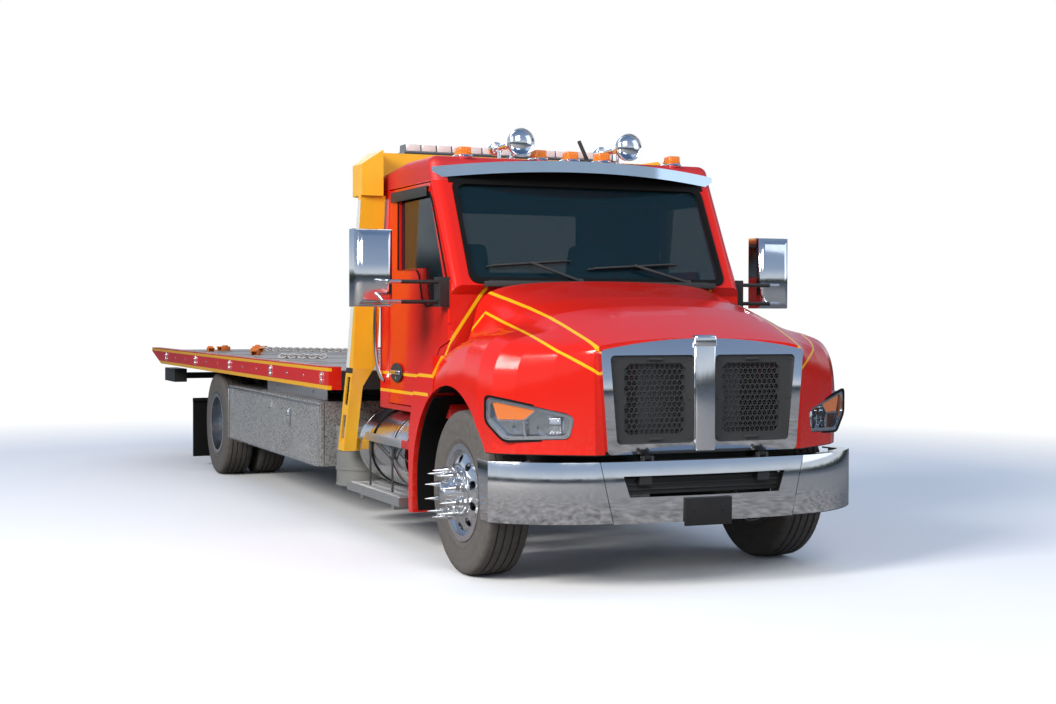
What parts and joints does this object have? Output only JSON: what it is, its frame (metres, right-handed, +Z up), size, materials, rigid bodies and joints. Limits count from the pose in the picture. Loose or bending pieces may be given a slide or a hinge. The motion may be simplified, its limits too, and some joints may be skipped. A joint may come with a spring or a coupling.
{
  "type": "tow truck",
  "caption": "Rollback tow truck with a conventional cab, opening hood and doors, sliding and tilting deck, winch, toolboxes and a rear wheel lift.",
  "frame": {"origin": "on the ground, under the middle of the truck's length and width", "axes": "+X to the truck's left, +Y toward its rear, +Z up"},
  "size_m": [3.222, 10.9, 2.8478],
  "materials": {
    "frame_black": "satin black chassis paint",
    "engine_grey": "dull grey",
    "radiator_alu": "dull fins",
    "wheel_alu": "polished forged aluminium",
    "tyre": "worn black rubber",
    "chrome": "bright chrome",
    "black_plastic": "matt black",
    "red_paint": "gloss red paint",
    "lamp_glass": "clear lens",
    "glass": "tinted window glass",
    "seat_cloth": "grey seat cloth",
    "yellow_paint": "gloss yellow-orange paint",
    "polished_alu": "polished sheet",
    "grey_paint": "light grey paint",
    "rod_chrome": "hard chrome rod",
    "winch_steel": "worn steel"
  },
  "bodies": {
    "chassis": {"air_horns": "chrome", "axles": "frame_black", "bumper_centre": "chrome", "bumper_wings": "chrome", "cab_arch": "yellow_paint", "cab_end_walls": "red_paint", "cab_floor": "red_paint", "cab_glass": "glass", "cab_roof": "red_paint", "cab_sides": "red_paint", "canister": "grey_paint", "dashboard": "black_plastic", "engine_block": "engine_grey", "frame_rails": "frame_black", "fuel_tanks": "polished_alu", "quarter_fenders": "red_paint", "radiator": "radiator_alu", "seat_backs": "seat_cloth", "seat_cushions": "seat_cloth", "splash_guards": "frame_black", "steering_wheel": "black_plastic", "steps": "frame_black", "sun_visor": "chrome", "toolboxes": "polished_alu", "warning_lights": "lamp_glass"},
    "knuckle_left": {"knuckle_left": "frame_black"},
    "knuckle_right": {"knuckle_right": "frame_black"},
    "front_wheel_left": {"wheel_front_left": "wheel_alu", "tyre_front_left": "tyre"},
    "front_wheel_right": {"wheel_front_right": "wheel_alu", "tyre_front_right": "tyre"},
    "rear_wheels_left": {"wheels_rear_left": "wheel_alu", "tyres_rear_left": "tyre"},
    "rear_wheels_right": {"wheels_rear_right": "wheel_alu", "tyres_rear_right": "tyre"},
    "hood": {"hood": "red_paint", "hood_liners": "black_plastic", "grille_surround": "chrome", "grille_mesh": "black_plastic", "headlamp_bowls": "chrome", "headlamp_lenses": "lamp_glass"},
    "door_left": {"door_left": "red_paint", "door_glass_left": "glass", "mirror_left": "chrome"},
    "door_right": {"door_right": "red_paint", "door_glass_right": "glass", "mirror_right": "chrome"},
    "toolbox_door_left": {"toolbox_door_left": "polished_alu"},
    "toolbox_door_right": {"toolbox_door_right": "polished_alu"},
    "tilt_frame": {"tilt_frame": "frame_black"},
    "ram_barrels": {"ram_barrels": "frame_black"},
    "ram_rods": {"ram_rods": "rod_chrome"},
    "deck": {"deck_frame": "frame_black", "deck_rails": "red_paint"},
    "winch_drum": {"winch_drum": "winch_steel"},
    "lift_boom": {"lift_boom": "frame_black"},
    "lift_slider": {"lift_slider": "frame_black"},
    "lift_crossbar": {"lift_crossbar": "frame_black"}
  },
  "joints": [
    {"name": "hood_tilt", "type": "hinge", "parent": "chassis", "child": "hood", "pos_m": [0, -5.405, 0.772], "axis": [1, 0, 0], "range_deg": [0, 55]},
    {"name": "steer_right", "type": "hinge", "parent": "chassis", "child": "knuckle_right", "pos_m": [-0.86, -4.42, 0.505], "axis": [0, 0, 1], "range_deg": [-35, 35]},
    {"name": "steer_left", "type": "hinge", "parent": "chassis", "child": "knuckle_left", "pos_m": [0.86, -4.42, 0.505], "axis": [0, 0, 1], "range_deg": [-35, 35]},
    {"name": "front_spin_left", "type": "hinge", "parent": "knuckle_left", "child": "front_wheel_left", "pos_m": [1.018, -4.42, 0.505], "axis": [1, 0, 0], "continuous": true},
    {"name": "front_spin_right", "type": "hinge", "parent": "knuckle_right", "child": "front_wheel_right", "pos_m": [-1.018, -4.42, 0.505], "axis": [1, 0, 0], "continuous": true},
    {"name": "rear_spin_left", "type": "hinge", "parent": "chassis", "child": "rear_wheels_left", "pos_m": [0.904, 2.31, 0.505], "axis": [1, 0, 0], "continuous": true},
    {"name": "rear_spin_right", "type": "hinge", "parent": "chassis", "child": "rear_wheels_right", "pos_m": [-0.904, 2.31, 0.505], "axis": [1, 0, 0], "continuous": true},
    {"name": "door_left_swing", "type": "hinge", "parent": "chassis", "child": "door_left", "pos_m": [1.05, -3.962, 1.53], "axis": [0, 0, -1], "range_deg": [0, 65]},
    {"name": "door_right_swing", "type": "hinge", "parent": "chassis", "child": "door_right", "pos_m": [-1.05, -3.962, 1.53], "axis": [0, 0, 1], "range_deg": [0, 65]},
    {"name": "toolbox_left_drop", "type": "hinge", "parent": "chassis", "child": "toolbox_door_left", "pos_m": [1.198, 0.1, 0.398], "axis": [0, 1, 0], "range_deg": [0, 90]},
    {"name": "toolbox_right_drop", "type": "hinge", "parent": "chassis", "child": "toolbox_door_right", "pos_m": [-1.198, 0.1, 0.398], "axis": [0, -1, 0], "range_deg": [0, 90]},
    {"name": "deck_tilt", "type": "hinge", "parent": "chassis", "child": "tilt_frame", "pos_m": [0, 4.18, 0.95], "axis": [-1, 0, 0], "range_deg": [0, 12]},
    {"name": "ram_swing", "type": "hinge", "parent": "chassis", "child": "ram_barrels", "pos_m": [0, -0.52, 0.705], "axis": [1, 0, 0], "range_deg": [0, 26.1]},
    {"name": "ram_extend", "type": "slide", "parent": "ram_barrels", "child": "ram_rods", "axis": [0, 0.9945, 0.1048], "range_m": [0, 0.289]},
    {"name": "deck_slide", "type": "slide", "parent": "tilt_frame", "child": "deck", "axis": [0, 1, 0], "range_m": [0, 3.3]},
    {"name": "winch_turn", "type": "hinge", "parent": "deck", "child": "winch_drum", "pos_m": [0, -1.76, 1.33], "axis": [1, 0, 0], "continuous": true},
    {"name": "lift_tilt", "type": "hinge", "parent": "tilt_frame", "child": "lift_boom", "pos_m": [0, 4.33, 0.8], "axis": [-1, 0, 0], "range_deg": [0, 16]},
    {"name": "lift_extend", "type": "slide", "parent": "lift_boom", "child": "lift_slider", "axis": [0, 1, 0], "range_m": [0, 0.5]},
    {"name": "lift_yaw", "type": "hinge", "parent": "lift_slider", "child": "lift_crossbar", "pos_m": [0, 5.22, 0.87], "axis": [0, 0, 1], "range_deg": [-15, 15]}
  ],
  "couplings": [
    {"joint": "steer_left", "follows": "steer_right", "ratio": 1},
    {"joint": "ram_swing", "follows": "deck_tilt", "ratio": 2.1692},
    {"joint": "ram_extend", "follows": "deck_tilt", "m_per_rad": 1.3736}
  ]
}
